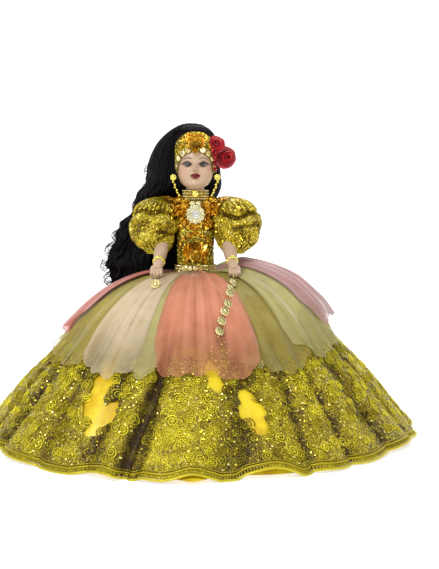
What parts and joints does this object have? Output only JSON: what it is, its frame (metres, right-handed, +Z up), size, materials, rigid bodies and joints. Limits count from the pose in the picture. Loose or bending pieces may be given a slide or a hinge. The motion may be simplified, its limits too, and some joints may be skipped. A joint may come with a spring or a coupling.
{
  "type": "porcelain costume doll",
  "caption": "Porcelain doll on a metal waist stand, in a wide gold lace ball gown with sheer petal panels, puff sleeves, coin headband, red roses and a hand-held flower chain.",
  "frame": {"origin": "on the surface the doll stands on, under the neck's axis and the middle of the skirt", "axes": "+Z up; the doll faces -Y; its own left hand, with the flower chain, is on +X"},
  "size_m": [0.5389, 0.539, 0.3985],
  "materials": {
    "stand_enamel": "smooth white enamel",
    "bare_steel": "drawn wire and turned steel",
    "body_cloth": "plain woven cotton, stuffed",
    "porcelain_skin": "painted matt porcelain",
    "eye_glass": "clear glass over a dark brown iris",
    "pate_board": "pressed card",
    "turned_wood": "turned beech",
    "black_hair": "long curled synthetic hair",
    "gold_lace": "metallic gold lace",
    "gold_sequin": "cloth covered in sequins",
    "sleeve_lace": "sequinned gold lace over satin",
    "gold_coin": "stamped thin gilt brass",
    "red_rose": "red silk petals",
    "yellow_bead": "pearl yellow beads",
    "pale_gilt": "pale gilt with clear stones",
    "daisy_enamel": "cream petals with gilt centres",
    "salmon_organza": "sheer organza over satin",
    "olive_organza": "sheer organza with glitter",
    "cream_organza": "sheer organza",
    "moss_organza": "sheer organza",
    "pink_organza": "sheer organza",
    "gold_organza": "sheer organza",
    "skirt_lace": "gold embroidered lace",
    "yellow_satin": "bright yellow satin",
    "white_net": "stiff white net",
    "gold_cord": "corded gold edging",
    "shoe_leather": "soft ivory leather"
  },
  "bodies": {
    "stand": {"stand_base": "stand_enamel", "stand_post": "stand_enamel"},
    "clamp_screw": {"stand_screw": "bare_steel"},
    "doll": {"stand_rod": "bare_steel", "waist_clip": "bare_steel", "torso": "body_cloth", "shoulder_plate": "porcelain_skin", "neck_spring": "bare_steel", "hair_length": "black_hair", "bodice": "gold_sequin", "choker": "gold_lace", "choker_rosette": "yellow_bead", "pendant": "pale_gilt", "waistband": "gold_lace", "belt_coins": "gold_coin", "panel_01_salmon": "salmon_organza", "panel_02_olive": "olive_organza", "panel_03_moss": "moss_organza", "panel_04_pink": "pink_organza", "panel_05_gold": "gold_organza", "panel_06_moss": "moss_organza", "panel_07_salmon": "salmon_organza", "panel_08_cream": "cream_organza", "panel_09_olive": "olive_organza", "panel_10_pink": "pink_organza", "panel_11_gold": "gold_organza", "panel_12_cream": "cream_organza", "lace_skirt": "skirt_lace", "satin_skirt": "yellow_satin", "petticoat": "white_net", "hem_ribbon": "gold_cord", "hoop_wires": "bare_steel"},
    "head": {"head": "porcelain_skin", "glass_eyes": "eye_glass", "crown_cover": "pate_board", "neck_button": "turned_wood", "neck_bolt": "bare_steel", "wig_cap": "black_hair", "headband": "gold_lace", "headband_coins": "gold_coin", "rose_large": "red_rose", "rose_small": "red_rose", "earrings": "yellow_bead"},
    "flower_chain": {"flower_chain": "daisy_enamel"},
    "arm_left": {"upper_arm_left": "body_cloth", "forearm_left": "porcelain_skin", "bracelet_left": "yellow_bead", "sleeve_left": "sleeve_lace"},
    "leg_left": {"thigh_left": "body_cloth", "lower_leg_left": "porcelain_skin", "shoe_left": "shoe_leather"},
    "arm_right": {"upper_arm_right": "body_cloth", "forearm_right": "porcelain_skin", "bracelet_right": "yellow_bead", "sleeve_right": "sleeve_lace", "coin_charm": "gold_coin"},
    "leg_right": {"thigh_right": "body_cloth", "lower_leg_right": "porcelain_skin", "shoe_right": "shoe_leather"}
  },
  "joints": [
    {"name": "stand_height", "type": "slide", "parent": "stand", "child": "doll", "axis": [0, 0, 1], "range_m": [0, 0.04]},
    {"name": "clamp_screw_turn", "type": "hinge", "parent": "stand", "child": "clamp_screw", "pos_m": [0, 0.036, 0.11], "axis": [0, 1, 0], "range_deg": [0, 270]},
    {"name": "head_turn", "type": "hinge", "parent": "doll", "child": "head", "pos_m": [0, 0, 0.299], "axis": [0, 0, 1], "range_deg": [-35, 35]},
    {"name": "shoulder_left", "type": "hinge", "parent": "doll", "child": "arm_left", "pos_m": [0.0245, 0, 0.288], "axis": [-1, 0, 0], "range_deg": [0, 50]},
    {"name": "hip_left", "type": "hinge", "parent": "doll", "child": "leg_left", "pos_m": [0.016, 0, 0.158], "axis": [-1, 0, 0], "range_deg": [0, 45]},
    {"name": "shoulder_right", "type": "hinge", "parent": "doll", "child": "arm_right", "pos_m": [-0.0245, 0, 0.288], "axis": [-1, 0, 0], "range_deg": [0, 50]},
    {"name": "hip_right", "type": "hinge", "parent": "doll", "child": "leg_right", "pos_m": [-0.016, 0, 0.158], "axis": [-1, 0, 0], "range_deg": [0, 45]},
    {"name": "chain_hang", "type": "hinge", "parent": "arm_left", "child": "flower_chain", "pos_m": [0.044, -0.074, 0.2], "axis": [-1, 0, 0], "range_deg": [-75, 0]}
  ],
  "couplings": [
    {"joint": "chain_hang", "follows": "shoulder_left", "ratio": -1.5}
  ]
}
